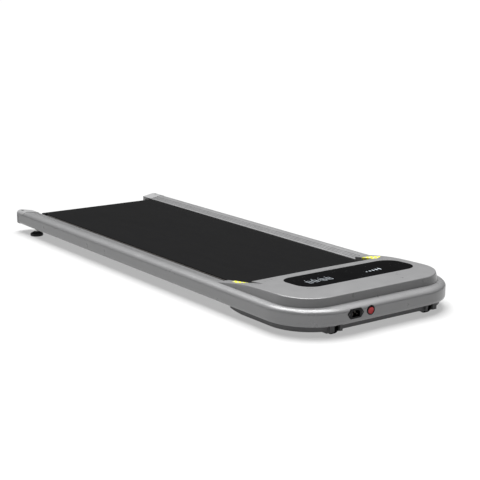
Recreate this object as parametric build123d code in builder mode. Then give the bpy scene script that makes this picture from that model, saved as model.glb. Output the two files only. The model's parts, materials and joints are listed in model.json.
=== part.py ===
from build123d import *
import math
import os

os.makedirs("parts", exist_ok=True)

# ---------------------------------------------------------------------------
# Slim walking pad: a running belt between two side rails, with the motor, the
# controller and the display in a low housing at the front (-Y).
# Origin: on the floor, under the middle of the machine. Millimetres, +Z up.
# ---------------------------------------------------------------------------

# overall
body_length = 1460.0
proud = 3.6
half_width = 272.0
front = -(body_length + proud) / 2 + proud
rear = (body_length + proud) / 2

# side profile shared by the rails and by the front casing
rail_bottom = 26.0
wall_top = 56.0
crest_height = 67.7
crest_half = 251.0
strip_half = 213.2
strip_height = 60.4
wall = 2.5
casing_end = front + 330.0
rail_end = rear - 20.0
crest_setback = 30.0
crest_corner = 95.0
body_corner = 138.0

# running belt, deck and rollers
belt_half = 203.0
belt_thickness = 1.8
belt_top = 61.0
running_gap = 0.3
roller_radius = 17.0
roller_z = belt_top - belt_thickness - running_gap - roller_radius
front_roller_y = front + 256.0
rear_roller_y = rear - 64.0
deck_top = 59.0
deck_thickness = 15.0
deck_half = 206.5
axle_radius = 6.0
rear_axle_radius = 5.0
bearing_radius = 13.0

# drive
drive_pulley_radius = 21.0
motor_pulley_radius = drive_pulley_radius / 2
motor_y = front + 150.0
motor_z = 54.0
motor_radius = 27.0
drive_x = 213.0
pulley_width = 12.0
drive_belt_width = 9.4
drive_belt_thickness = 2.6

# bent steel side plates and the cross tubes between them
frame_bottom = 26.6
frame_top = 57.0
plate_inner = 207.0
plate_thickness = 3.0
front_plate_inner = 226.0
ledge_top = 41.0
ledge_inner = 190.0
cross_width = 40.0

# hood: heights of its top line at distances behind the front face
hood_line = [(20, 88.0), (60, 89.4), (118, 90.0), (186, 88.2), (226, 86.3), (256, 83.8),
             (285, 80.3), (319, 75.0), (352, 69.3), (372, 65.6)]
hood_back = front + 272.0
wing_end = front + 360.0

# belly tray
tray_bottom = 12.0
tray_top = 24.0
tray_back = front + 290.0

# transport wheels and rear feet
wheel_x = 152.0
wheel_y = front + 34.5
wheel_radius = 17.0
wheel_width = 14.0
wheel_hub_radius = 11.0
pin_radius = 3.0
foot_x = 248.0
foot_y = front + 1357.0
foot_radius = 20.0
stem_radius = 4.0

# inlet and switch in the front face
inlet_x = -108.4
inlet_z = 50.4
switch_x = -61.3
switch_z = 50.8


def save(part, name):
    """Name a finished piece and write it to its own file."""
    part.label = name
    export_step(part, f"parts/{name}.step")


def rounded_front(half, setback, corner, back):
    """Draw a plan outline with a straight front and two round front corners."""
    y0 = front + setback
    with BuildLine() as outline:
        Line((half, back), (half, y0 + corner))
        CenterArc((half - corner, y0 + corner), corner, 0, -90)
        Line((half - corner, y0), (corner - half, y0))
        CenterArc((corner - half, y0 + corner), corner, 270, -90)
        Line((-half, y0 + corner), (-half, back))
        Line((-half, back), (half, back))
    make_face(outline.line)


def rod(x0, x1, y, z, radius, bore=0.0):
    """A round bar or sleeve along X."""
    with BuildPart() as bar:
        with BuildSketch(Plane.YZ.offset(x0)):
            with Locations((y, z)):
                Circle(radius)
                if bore > 0:
                    Circle(bore, mode=Mode.SUBTRACT)
        extrude(amount=x1 - x0)
    return bar.part


def upright(x, y, z0, z1, radius, bore=0.0):
    """A round bar or sleeve along Z."""
    with BuildPart() as bar:
        with BuildSketch(Plane.XY.offset(z0)):
            with Locations((x, y)):
                Circle(radius)
                if bore > 0:
                    Circle(bore, mode=Mode.SUBTRACT)
        extrude(amount=z1 - z0)
    return bar.part


def lengthwise(x, z, y0, y1, radius, bore=0.0):
    """A round bar or sleeve along Y."""
    with BuildPart() as bar:
        with BuildSketch(Plane.XZ.offset(-y1)):
            with Locations((x, z)):
                Circle(radius)
                if bore > 0:
                    Circle(bore, mode=Mode.SUBTRACT)
        extrude(amount=y1 - y0)
    return bar.part


def block(x0, x1, y0, y1, z0, z1):
    """A plain block between two corners."""
    with BuildPart() as body:
        with BuildSketch(Plane.XY.offset(z0)):
            with Locations(((x0 + x1) / 2, (y0 + y1) / 2)):
                Rectangle(x1 - x0, y1 - y0)
        extrude(amount=z1 - z0)
    return body.part


def mirrored(part):
    """The same piece on the other side of the machine."""
    with BuildPart() as other:
        mirror(part, about=Plane.YZ)
    return other.part


def joined(parts):
    """Several separate solids of one kind, kept together."""
    with BuildPart() as group:
        for part in parts:
            add(part)
    return group.part


# ---------------------------------------------------------------------------
# Side rails: hollow aluminium extrusions with a grooved strip beside the belt
# ---------------------------------------------------------------------------

def rail_profile(inset):
    """Draw the right rail's section: flat bottom, upright wall, wide shoulder, sloping strip."""
    inner = strip_half + inset
    outer = half_width - inset
    bottom = rail_bottom + inset
    with BuildLine() as outline:
        Line((inner, bottom), (crest_half + 8, bottom))
        Spline((crest_half + 8, bottom), (outer - 3.2, bottom + 3.2), (outer, rail_bottom + 12),
               tangents=[(1, 0), (0, 1)])
        Line((outer, rail_bottom + 12), (outer, wall_top))
        EllipticalCenterArc((crest_half, wall_top), half_width - crest_half - inset,
                            crest_height - wall_top - inset, 0, arc_size=90)
        Line((crest_half, crest_height - inset), (inner, strip_height - 1.2 * inset))
        Line((inner, strip_height - 1.2 * inset), (inner, bottom))
    make_face(outline.line)


strip_angle = math.degrees(math.atan2(crest_height - strip_height, crest_half - strip_half))
groove_places = [0.26, 0.45, 0.64]
tension_x = 231.0
cap_tongue = rear - 53.0
tongue_height = 58.0

with BuildPart() as side_rail_right:
    with BuildSketch(Plane.XZ.offset(-rail_end)):
        rail_profile(0)
        for place in groove_places:
            groove_x = strip_half + place * (crest_half - strip_half)
            groove_z = strip_height + place * (crest_height - strip_height)
            with Locations((groove_x, groove_z)):
                Rectangle(1.5, 2.2, rotation=strip_angle, mode=Mode.SUBTRACT)
    extrude(amount=rail_end - casing_end)
    with BuildSketch(Plane.XZ.offset(-rail_end)):
        rail_profile(wall)
    extrude(amount=rail_end - casing_end, mode=Mode.SUBTRACT)
    # the end cap's tongue takes the top of the last stretch
    with BuildSketch(Plane.XY.offset(tongue_height)):
        with Locations((240, (cap_tongue + rail_end) / 2)):
            Rectangle(80, rail_end - cap_tongue)
    extrude(amount=20, mode=Mode.SUBTRACT)
    # slot for the rear roller's axle
    with BuildSketch(Plane.YZ.offset(strip_half - 1)):
        with Locations((rear_roller_y - 4, roller_z)):
            SlotOverall(26, 2 * rear_axle_radius + 1.2)
    extrude(amount=40, mode=Mode.SUBTRACT)
    # threaded boss hole for the levelling foot
    with BuildSketch(Plane.XY.offset(rail_bottom - 1)):
        with Locations((foot_x, foot_y)):
            Circle(stem_radius + 3.2)
    extrude(amount=wall + 2, mode=Mode.SUBTRACT)
save(side_rail_right.part, "side_rail_right")
save(mirrored(side_rail_right.part), "side_rail_left")

with BuildPart() as foot_insert:
    add(upright(foot_x, foot_y, rail_bottom - 1.5, rail_bottom + 15, stem_radius + 3, stem_radius + 0.05))
    add(upright(foot_x, foot_y, rail_bottom + wall + 0.05, rail_bottom + wall + 2.5, 11, stem_radius + 0.05))
save(joined([foot_insert.part, mirrored(foot_insert.part)]), "foot_inserts")

# ---------------------------------------------------------------------------
# Rear end caps
# ---------------------------------------------------------------------------

cap_grow = 0.8
cap_corner = 20.0
cap_side = half_width + cap_grow + 0.5
screw_y = rear - 19.0
screw_x = 254.0
screw_seat = 61.0

with BuildPart() as end_cap_right:
    with BuildSketch(Plane.XZ.offset(-rear)):
        rail_profile(-cap_grow)
    extrude(amount=rear - cap_tongue)
    # seen from above the outer rear corner is round; the arc meets the wall at a slight angle
    with BuildSketch(Plane.XY):
        with BuildLine():
            Polyline((cap_side - cap_corner, rear), (strip_half - 5, rear), (strip_half - 5, cap_tongue),
                     (cap_side, cap_tongue), (cap_side, rear - cap_corner))
            CenterArc((cap_side - cap_corner, rear - cap_corner), cap_corner, 0, 90)
        make_face()
    extrude(amount=100, mode=Mode.INTERSECT)
    fillet(end_cap_right.faces().sort_by(Axis.Y)[-1].edges().sort_by(Axis.Z)[1:], 2.0)
    with BuildSketch(Plane.XZ.offset(-(rear - wall))):
        rail_profile(wall)
    extrude(amount=rear - wall - cap_tongue, mode=Mode.SUBTRACT)
    # below the tongue the rail itself shows up to its end
    with BuildSketch(Plane.XY.offset(rail_bottom - 2)):
        with Locations((240, (cap_tongue + rail_end) / 2)):
            Rectangle(90, rail_end - cap_tongue)
    extrude(amount=tongue_height - rail_bottom + 2, mode=Mode.SUBTRACT)
    # post under the screw
    with BuildSketch(Plane.XY.offset(screw_seat - 18)):
        with Locations((screw_x, screw_y)):
            Circle(7)
    extrude(amount=21)
    with BuildSketch(Plane.XY.offset(screw_seat)):
        with Locations((screw_x, screw_y)):
            Circle(5)
    extrude(amount=12, mode=Mode.SUBTRACT)
    with BuildSketch(Plane.XY.offset(screw_seat - 20)):
        with Locations((screw_x, screw_y)):
            Circle(2.05)
    extrude(amount=22, mode=Mode.SUBTRACT)
    # opening for the belt adjusting bolt
    with BuildSketch(Plane.XZ.offset(-rear - 2)):
        with Locations((tension_x, roller_z)):
            Circle(7)
    extrude(amount=wall + 4, mode=Mode.SUBTRACT)
save(end_cap_right.part, "end_cap_right")
save(mirrored(end_cap_right.part), "end_cap_left")

with BuildPart() as cap_screw:
    add(upright(screw_x, screw_y, screw_seat + 0.02, screw_seat + 2.4, 4.2))
    add(upright(screw_x, screw_y, screw_seat - 16, screw_seat + 0.1, 2))
    with BuildSketch(Plane.XY.offset(screw_seat + 1)):
        with Locations((screw_x, screw_y)):
            Rectangle(5, 1)
            Rectangle(1, 5)
    extrude(amount=3, mode=Mode.SUBTRACT)
save(joined([cap_screw.part, mirrored(cap_screw.part)]), "end_cap_screws")

# ---------------------------------------------------------------------------
# Front casing: the rails' side profile carried round two large front corners
# ---------------------------------------------------------------------------

bottom_levels = [(0.0, 9.0, 9.0, 122.0), (2.5, 3.7, 4.0, 128.0), (7.0, 0.7, 0.8, 135.0), (12.0, 0.0, 0.0, 138.0)]
shoulder_steps = 5


def casing_form(inset):
    """The casing's outer shape, moved in by inset on every side."""
    with BuildPart() as form:
        for rise, narrower, setback, corner in bottom_levels:
            level = rail_bottom + rise + inset * (1 - rise / 12)
            with BuildSketch(Plane.XY.offset(level)):
                rounded_front(half_width - narrower - inset, setback + inset, corner - inset, casing_end)
        loft()
        with BuildSketch(Plane.XY.offset(rail_bottom + 12)):
            rounded_front(half_width - inset, inset, body_corner - inset, casing_end)
        extrude(amount=wall_top - rail_bottom - 12)
        for step in range(shoulder_steps):
            turn = math.radians(90 * step / (shoulder_steps - 1))
            with BuildSketch(Plane.XY.offset(wall_top + (crest_height - wall_top - inset) * math.sin(turn))):
                rounded_front(
                    crest_half + (half_width - crest_half - inset) * math.cos(turn),
                    crest_setback - (crest_setback - inset) * math.cos(turn),
                    crest_corner + (body_corner - crest_corner - inset) * math.cos(turn),
                    casing_end,
                )
        loft()
    return form.part


casing_skin = casing_form(0)
casing_cavity = casing_form(wall)

with BuildPart() as front_casing:
    add(casing_skin)
    add(casing_cavity, mode=Mode.SUBTRACT)
    with BuildSketch(Plane.XY.offset(crest_height - 8)):
        rounded_front(crest_half - 4, crest_setback + 4, crest_corner - 4, casing_end + 1)
    extrude(amount=12, mode=Mode.SUBTRACT)
    with BuildSketch(Plane.XY.offset(rail_bottom - 2)):
        rounded_front(half_width - 16, 16, 116, casing_end + 1)
    extrude(amount=8, mode=Mode.SUBTRACT)
    with BuildSketch(Plane.XY.offset(rail_bottom - 2)):
        with Locations((-wheel_x, wheel_y - 12), (wheel_x, wheel_y - 12)):
            Rectangle(wheel_width + 5, 50)
    extrude(amount=wall + 2.5, mode=Mode.SUBTRACT)
    with BuildSketch(Plane.XZ.offset(-front - 12)):
        with Locations((inlet_x, inlet_z)):
            Rectangle(29.2, 22.2)
        with Locations((switch_x, switch_z)):
            Circle(10.15)
        with Locations((inlet_x - 20, inlet_z), (inlet_x + 20, inlet_z)):
            Circle(1.55)
    extrude(amount=14, mode=Mode.SUBTRACT)
save(front_casing.part, "front_casing")

# ---------------------------------------------------------------------------
# Hood: top cover with two wings that run back along the rails
# ---------------------------------------------------------------------------

hood_base_half = 249.5
hood_base_setback = 31.5
hood_draft = 0.22
hood_corner = 94.0
hood_floor = 58.0
hood_ceiling = 94.0
bay_corner = 6.0
wing_drop = [(236, 0.0), (252, 2.0), (268, 3.6), (278, 3.8), (294, 3.4), (311, 2.8), (328, 2.4), (345, 1.4),
             (372, 0.6)]


def hood_prism(drop):
    """Everything below the hood's top line, lowered by drop."""
    with BuildPart() as prism:
        with BuildSketch(Plane.YZ):
            line = [(front + run, height - drop) for run, height in hood_line]
            with BuildLine():
                Spline(*line)
                Line(line[-1], (line[-1][0], hood_floor - 6))
                Line((line[-1][0], hood_floor - 6), (line[0][0], hood_floor - 6))
                Line((line[0][0], hood_floor - 6), line[0])
            make_face()
        extrude(amount=half_width, both=True)
    return prism.part


def wing_cutter(drop):
    """Space above the right wing, whose top dips from its outer edge towards the belt."""
    line = [(front + run, height - drop) for run, height in hood_line if run >= 226]
    start = line[0][0]
    with BuildPart() as cutter:
        for x, dips in ((hood_base_half - 3.5, 0.0), (strip_half - 6, 1.15)):
            with BuildSketch(Plane.YZ.offset(x)):
                with BuildLine():
                    low = []
                    for y, height in line:
                        low.append((y, height - dips * dip_at(y - front)))
                    Spline(*low)
                    Line(low[-1], (low[-1][0], 110))
                    Line((low[-1][0], 110), (start, 110))
                    Line((start, 110), low[0])
                make_face()
        loft(ruled=True)
    return cutter.part


def dip_at(run):
    """How far the wing's inner edge lies below its outer edge at a distance from the front."""
    if run <= wing_drop[0][0]:
        return 0.0
    for (run0, dip0), (run1, dip1) in zip(wing_drop, wing_drop[1:]):
        if run <= run1:
            return dip0 + (dip1 - dip0) * (run - run0) / (run1 - run0)
    return wing_drop[-1][1]


def hood_form(inset, edge_radius):
    """The hood's outer shape, moved in by inset, with its top edge rounded."""
    with BuildPart() as form:
        for level in (hood_floor, hood_ceiling):
            lean = hood_draft * (level - crest_height)
            with BuildSketch(Plane.XY.offset(level)):
                rounded_front(hood_base_half - lean - inset, hood_base_setback + lean + inset,
                              hood_corner - lean / 2 - inset, front + 372)
        loft(ruled=True)
        add(hood_prism(inset), mode=Mode.INTERSECT)
        if edge_radius > 0:
            top_edges = form.faces().sort_by(Axis.Z)[-1].edges()
            fillet(top_edges.sort_by(Axis.Y)[:-1], edge_radius)
        with BuildSketch(Plane.XY.offset(hood_floor - 1)):
            with Locations((0, front)):
                Rectangle(700, 900)
        extrude(amount=crest_height - hood_floor + 1, mode=Mode.SUBTRACT)
    return form.part


def belt_bay(inset):
    """The opening between the wings where the running belt comes out."""
    half = strip_half - inset
    back = hood_back - inset
    with BuildPart() as bay:
        with BuildSketch(Plane.XY.offset(hood_floor - 8)):
            with BuildLine():
                Line((half, front + 400), (half, back + bay_corner))
                CenterArc((half - bay_corner, back + bay_corner), bay_corner, 0, -90)
                ThreePointArc((half - bay_corner, back), (0, back + 4), (bay_corner - half, back))
                CenterArc((bay_corner - half, back + bay_corner), bay_corner, 270, -90)
                Line((-half, back + bay_corner), (-half, front + 400))
                Line((-half, front + 400), (half, front + 400))
            make_face()
        extrude(amount=60)
    return bay.part


hood_top_corner = 3.0
hood_skin = hood_form(0, hood_top_corner)
hood_hollow = hood_form(wall, 0)
wing_space = wing_cutter(0)
wing_hollow = wing_cutter(wall)

with BuildPart() as hood_cavity:
    add(hood_hollow)
    add(wing_hollow, mode=Mode.SUBTRACT)
    add(mirrored(wing_hollow), mode=Mode.SUBTRACT)
    with BuildSketch(Plane.XY.offset(hood_floor)):
        rounded_front(hood_base_half - 5.5, hood_base_setback + 5.5, hood_corner - 5.5, wing_end - wall)
    extrude(amount=crest_height - hood_floor)
    add(belt_bay(-wall), mode=Mode.SUBTRACT)

window_left = -157.0
window_right = 218.0
window_front = front + 119.0
window_back = front + 238.0
window_corner = 44.0
window_thickness = 1.4


def window_column(grow):
    """A rounded rectangle, seen from above, that the display window fills."""
    with BuildPart() as column:
        with BuildSketch(Plane.XY.offset(hood_floor)):
            with Locations(((window_left + window_right) / 2, (window_front + window_back) / 2)):
                RectangleRounded(window_right - window_left + 2 * grow,
                                 window_back - window_front + 2 * grow, window_corner + grow)
        extrude(amount=50)
    return column.part


with BuildPart() as window_pocket:
    add(window_column(0.25))
    add(hood_prism(window_thickness), mode=Mode.SUBTRACT)

with BuildPart() as hood:
    add(hood_skin)
    # locating lip inside the casing's rim
    with BuildSketch(Plane.XY.offset(strip_height + 0.6)):
        rounded_front(hood_base_half - 3, hood_base_setback + 3, hood_corner - 3, wing_end)
    extrude(amount=crest_height - strip_height - 0.6)
    with BuildSketch(Plane.XY.offset(hood_floor - 8)):
        with Locations((0, wing_end + 50)):
            Rectangle(700, 100)
    extrude(amount=60, mode=Mode.SUBTRACT)
    add(wing_space, mode=Mode.SUBTRACT)
    add(mirrored(wing_space), mode=Mode.SUBTRACT)
    add(belt_bay(0), mode=Mode.SUBTRACT)
    add(hood_cavity.part, mode=Mode.SUBTRACT)
    add(window_pocket.part, mode=Mode.SUBTRACT)
    # room for the belt under the rear edge
    with BuildSketch(Plane.XY.offset(hood_floor - 8)):
        with Locations((0, hood_back)):
            Rectangle(2 * strip_half - 2, 60)
    extrude(amount=66 - hood_floor + 8, mode=Mode.SUBTRACT)
    # the wings rest on the rails behind the casing
    with BuildSketch(Plane.XZ.offset(-(wing_end + 5))):
        rail_profile(-0.05)
    extrude(amount=wing_end + 5 - casing_end, mode=Mode.SUBTRACT)
    with BuildSketch(Plane.XZ.offset(-(wing_end + 5))):
        with BuildLine():
            Polyline((-strip_half, 50), (-strip_half, strip_height + 0.05), (-crest_half, crest_height + 0.05),
                     (-crest_half, 50), close=True)
        make_face()
    extrude(amount=wing_end + 5 - casing_end, mode=Mode.SUBTRACT)
save(hood.part, "hood")

with BuildPart() as display_window:
    add(window_column(0))
    add(hood_prism(-0.15), mode=Mode.INTERSECT)
    add(hood_prism(window_thickness - 0.05), mode=Mode.SUBTRACT)
save(display_window.part, "display_window")

# thin film markers on the wings, beside the belt, folded down over the wings' inner edges
marker_lift = 0.4
marker_front = front + 277.0
marker_back = front + 335.0
marker_fold = 5.0
marker_inner = strip_half - 0.45

with BuildPart() as marker_edge:
    add(block(marker_inner, strip_half, marker_front, marker_back, hood_floor, hood_floor + 40))
    add(wing_cutter(-marker_lift), mode=Mode.SUBTRACT)
    add(wing_cutter(marker_fold), mode=Mode.INTERSECT)
with BuildPart() as side_marker_right:
    with BuildSketch(Plane.XY.offset(hood_floor)):
        with BuildLine():
            Polyline((marker_inner, marker_front), (strip_half + 26, marker_front + 10),
                     (strip_half + 17, marker_back - 14), (marker_inner, marker_back), close=True)
        make_face()
    extrude(amount=40)
    add(wing_cutter(-marker_lift), mode=Mode.SUBTRACT)
    add(wing_cutter(0.0), mode=Mode.INTERSECT)
    add(marker_edge.part)
save(side_marker_right.part, "side_marker_right")
save(mirrored(side_marker_right.part), "side_marker_left")

# ---------------------------------------------------------------------------
# Display board under the window
# ---------------------------------------------------------------------------

digit_x = -80.0
digit_y = front + 165.0

with BuildPart() as display_board:
    add(block(digit_x - 60, digit_x + 125, digit_y - 22, digit_y + 28, 76, 77.6))
    for corner_x in (digit_x - 54, digit_x + 119):
        add(upright(corner_x, digit_y, 77, 84, 3))
save(display_board.part, "display_board")
with BuildPart() as digit_module:
    add(block(digit_x - 40, digit_x + 40, digit_y - 15, digit_y + 15, 77.6, 84.5))
save(digit_module.part, "digit_module")

# ---------------------------------------------------------------------------
# Belly tray, its rubber bumpers and the transport wheels
# ---------------------------------------------------------------------------

boss_outer = 13.0
boss_inner = 8.0
wheel_slot = wheel_width / 2 + 1.5


def tray_form(inset):
    """The tray's shape, moved in by inset: a shallow pan whose rear end slopes up."""
    with BuildPart() as form:
        with BuildSketch(Plane.XY.offset(tray_bottom + inset)):
            rounded_front(256 - inset, 19.5 + inset, 112 - inset, tray_back + 10)
        with BuildSketch(Plane.XY.offset(tray_top + 2)):
            rounded_front(259.5 - inset, 16.5 + inset, 115 - inset, tray_back + 10)
        loft(ruled=True)
        with BuildSketch(Plane.YZ.offset(-300)):
            with BuildLine():
                Polyline((front + 246, tray_bottom + inset - 6), (front + 246, tray_bottom + inset),
                         (front + 262, tray_bottom + inset + 1.6), (front + 278, tray_bottom + inset + 4.0),
                         (tray_back, tray_bottom + inset + 7.0), (tray_back, 40), (tray_back + 30, 40),
                         (tray_back + 30, tray_bottom + inset - 6), close=True)
            make_face()
        extrude(amount=600, mode=Mode.SUBTRACT)
    return form.part


tray_skin = tray_form(0)
tray_hollow = tray_form(wall)

with BuildPart() as belly_tray:
    add(tray_skin)
    add(tray_hollow, mode=Mode.SUBTRACT)
    for side in (-1, 1):
        centre = side * wheel_x
        outer_edge = centre + side * (wheel_slot + boss_outer)
        inner_edge = centre - side * (wheel_slot + boss_inner)
        with BuildSketch(Plane.XY.offset(10)):
            with Locations(((outer_edge + inner_edge) / 2, wheel_y + 2)):
                Rectangle(abs(outer_edge - inner_edge), 46)
        extrude(amount=28)
        with BuildSketch(Plane.YZ.offset(min(outer_edge, inner_edge))):
            with BuildLine():
                Polyline((wheel_y - 14, 12), (wheel_y + 18, 12), (wheel_y + 10, 5.5), (wheel_y - 8, 5.5), close=True)
            make_face()
        extrude(amount=abs(outer_edge - inner_edge))
    for side in (-1, 1):
        with BuildSketch(Plane.XY):
            with Locations((side * wheel_x, wheel_y - 10)):
                Rectangle(2 * wheel_slot, 2 * wheel_radius + 26)
        extrude(amount=60, mode=Mode.SUBTRACT)
        with BuildSketch(Plane.YZ.offset(side * wheel_x - 40)):
            with Locations((wheel_y, wheel_radius)):
                Circle(pin_radius + 0.02)
        extrude(amount=80, mode=Mode.SUBTRACT)
    with BuildSketch(Plane.YZ.offset(-300)):
        with Locations((front + 20, 30), (front + 62, 41)):
            Rectangle(26, 10)
    extrude(amount=600, mode=Mode.SUBTRACT)
save(belly_tray.part, "belly_tray")

bumper_places = [(-234, front + 230), (234, front + 230)]
with BuildPart() as tray_bumpers:
    with BuildSketch(Plane.XY.offset(tray_bottom)):
        with Locations(bumper_places):
            Circle(8)
    extrude(amount=-4)
    fillet(tray_bumpers.edges().group_by(Axis.Z)[0], 1.5)
save(tray_bumpers.part, "tray_bumpers")

tray_screw_places = [(-205, front + 110), (205, front + 110), (-205, front + 225), (205, front + 225),
                     (0, front + 60), (0, front + 225)]
with BuildPart() as tray_screws:
    with BuildSketch(Plane.XY.offset(tray_bottom - 2.2)):
        with Locations(tray_screw_places):
            Circle(4)
    extrude(amount=2.2)
    with BuildSketch(Plane.XY.offset(tray_bottom - 2.5)):
        with Locations(tray_screw_places):
            Rectangle(4.6, 1)
            Rectangle(1, 4.6)
    extrude(amount=1.5, mode=Mode.SUBTRACT)
save(tray_screws.part, "tray_screws")


def wheel_pieces(x):
    """Tyre, hub and pin of one transport wheel."""
    half = wheel_width / 2
    with BuildPart() as tyre:
        add(rod(x - half, x + half, wheel_y, wheel_radius, wheel_radius, wheel_hub_radius))
        rims = tyre.edges().filter_by(GeomType.CIRCLE).filter_by(lambda edge: edge.radius > wheel_hub_radius + 1)
        fillet(rims, 2)
        with BuildSketch(Plane.YZ.offset(x - 1)):
            with Locations((wheel_y, wheel_radius)):
                Circle(wheel_radius + 1)
                Circle(wheel_radius - 0.8, mode=Mode.SUBTRACT)
        extrude(amount=2, mode=Mode.SUBTRACT)
    with BuildPart() as hub:
        add(rod(x - half + 1, x + half - 1, wheel_y, wheel_radius, wheel_hub_radius, 8))
        add(rod(x - half + 3, x + half - 3, wheel_y, wheel_radius, 8.2, pin_radius + 0.05))
        with BuildSketch(Plane.YZ.offset(x - half)):
            with Locations((wheel_y, wheel_radius)):
                with PolarLocations(5.9, 5):
                    Circle(1.1)
        extrude(amount=wheel_width, mode=Mode.SUBTRACT)
    pin = rod(x - wheel_slot - boss_inner - 1, x + wheel_slot + boss_inner + 1, wheel_y, wheel_radius, pin_radius)
    return tyre.part, hub.part, pin


wheel_pins = []
for side_name, side in (("left", -1), ("right", 1)):
    tyre_part, hub_part, pin_part = wheel_pieces(side * wheel_x)
    save(tyre_part, f"wheel_tyre_{side_name}")
    save(hub_part, f"wheel_hub_{side_name}")
    wheel_pins.append(pin_part)
save(joined(wheel_pins), "wheel_pins")

# ---------------------------------------------------------------------------
# Rear levelling feet
# ---------------------------------------------------------------------------

nut_top = rail_bottom - 1.6
foot_disc = 9.0


def foot_pieces(x):
    """Pad with a ball socket, threaded stem that turns in it, and lock nut."""
    with BuildPart() as pad:
        with BuildSketch(Plane.XZ):
            with BuildLine():
                Polyline((stem_radius + 0.05, 3.2), (stem_radius + 0.05, 13.5), (9, 13.5),
                         (foot_radius - 2.5, foot_disc), (foot_radius, foot_disc - 2), (foot_radius, 1.2),
                         (foot_radius - 1.2, 0), (0, 0), (0, 3.2), close=True)
            make_face()
        revolve(axis=Axis.Z)
    with BuildPart() as stem:
        with BuildSketch(Plane.XY.offset(3.25)):
            Circle(stem_radius)
        extrude(amount=46)
        chamfer(stem.edges().group_by(Axis.Z)[-1], 1)
    with BuildPart() as nut:
        with BuildSketch(Plane.XY.offset(nut_top - 6.5)):
            RegularPolygon(6.5, 6, major_radius=False)
            Circle(stem_radius + 0.05, mode=Mode.SUBTRACT)
        extrude(amount=6.5)
    place = Pos(x, foot_y, 0)
    return place * pad.part, place * stem.part, place * nut.part


nuts = []
for side_name, side in (("left", -1), ("right", 1)):
    pad_part, stem_part, nut_part = foot_pieces(side * foot_x)
    nuts.append(nut_part)
    save(pad_part, f"foot_pad_{side_name}")
    save(stem_part, f"foot_stem_{side_name}")
save(joined(nuts), "foot_lock_nuts")

# ---------------------------------------------------------------------------
# Steel frame: a bent plate on each side, cross tubes and the motor plate
# ---------------------------------------------------------------------------

frame_front = front + 62.0
frame_rear = rear - 24.0
jog_y = front + 296.0
deck_front = front_roller_y + roller_radius + 14
deck_back = rear_roller_y - roller_radius - 13
tension_travel = 8.0
row_pitch = (deck_back - deck_front - 120) / 4
screw_rows = [deck_front + 60 + row_pitch * row for row in range(5)]
deck_screw_x = 197.0

with BuildPart() as side_plate_right:
    with BuildSketch(Plane.XY.offset(frame_bottom)):
        inner = plate_inner
        outer = front_plate_inner
        with BuildLine():
            Polyline((outer, frame_front), (outer, jog_y), (inner, jog_y), (inner, frame_rear),
                     (inner + plate_thickness, frame_rear), (inner + plate_thickness, jog_y + plate_thickness),
                     (outer + plate_thickness, jog_y + plate_thickness), (outer + plate_thickness, frame_front),
                     close=True)
        make_face()
    extrude(amount=frame_top - frame_bottom)
    # ledge that carries the deck
    with BuildSketch(Plane.XY.offset(ledge_top - plate_thickness)):
        with Locations(((ledge_inner + plate_inner) / 2 + 0.5, (deck_front + deck_back) / 2)):
            Rectangle(plate_inner - ledge_inner + 1, deck_back - deck_front)
    extrude(amount=plate_thickness)
    with BuildSketch(Plane.XY.offset(ledge_top - plate_thickness - 1)):
        with Locations([(deck_screw_x, y) for y in screw_rows]):
            Circle(2.55)
    extrude(amount=plate_thickness + 2, mode=Mode.SUBTRACT)
    # seats for the two roller axles, open upwards
    with BuildSketch(Plane.YZ.offset(plate_inner - 5)):
        with Locations((front_roller_y, roller_z)):
            Circle(axle_radius + 0.05)
        with Locations((front_roller_y, (roller_z + frame_top) / 2 + 1)):
            Rectangle(2 * axle_radius + 0.1, frame_top - roller_z + 2)
        with Locations((rear_roller_y - tension_travel / 2, roller_z)):
            SlotOverall(2 * rear_axle_radius + tension_travel + 2, 2 * rear_axle_radius + 0.4)
    extrude(amount=40, mode=Mode.SUBTRACT)
save(side_plate_right.part, "side_plate_right")
save(mirrored(side_plate_right.part), "side_plate_left")

cross_top = ledge_top - plate_thickness - 0.05
cross_places = [front + 345, front + 640, front + 935, front + 1230]


def cross_tube(y, width):
    """Rectangular tube from one side plate to the other."""
    half = plate_inner - 0.05
    skin = 1.5
    with BuildPart() as tube:
        add(block(-half, half, y - width / 2, y + width / 2, frame_bottom, cross_top))
        add(block(-half, half, y - width / 2 + skin, y + width / 2 - skin, frame_bottom + skin, cross_top - skin),
            mode=Mode.SUBTRACT)
    return tube.part


cross_group = [cross_tube(y, cross_width) for y in cross_places]
cross_group.append(cross_tube(rear - 31.5, 14.0))
save(joined(cross_group), "cross_tubes")

motor_plate_back = front + 205.0
board_posts = [(-182, front + 76), (-182, front + 190), (-32, front + 76), (-32, front + 190)]
with BuildPart() as motor_plate:
    add(block(-229, 229, frame_front, motor_plate_back, frame_bottom - 2.05, frame_bottom - 0.05))
    for x, y in board_posts:
        add(upright(x, y, frame_bottom - 0.05, 32, 3))
save(motor_plate.part, "motor_plate")

# ---------------------------------------------------------------------------
# Deck board on rubber cushions
# ---------------------------------------------------------------------------

with BuildPart() as deck_board:
    add(block(-deck_half, deck_half, deck_front, deck_back, deck_top - deck_thickness, deck_top))
    long_edges = deck_board.edges().filter_by(Axis.X).group_by(Axis.Z)[-1]
    fillet(long_edges, 4)
    with BuildSketch(Plane.XY.offset(deck_top)):
        with Locations([(side * deck_screw_x, y) for side in (-1, 1) for y in screw_rows]):
            Circle(2.6)
    extrude(amount=-deck_thickness, mode=Mode.SUBTRACT)
    with BuildSketch(Plane.XY.offset(deck_top)):
        with Locations([(side * deck_screw_x, y) for side in (-1, 1) for y in screw_rows]):
            Circle(5)
    extrude(amount=-3, mode=Mode.SUBTRACT)
save(deck_board.part, "deck_board")

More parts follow.
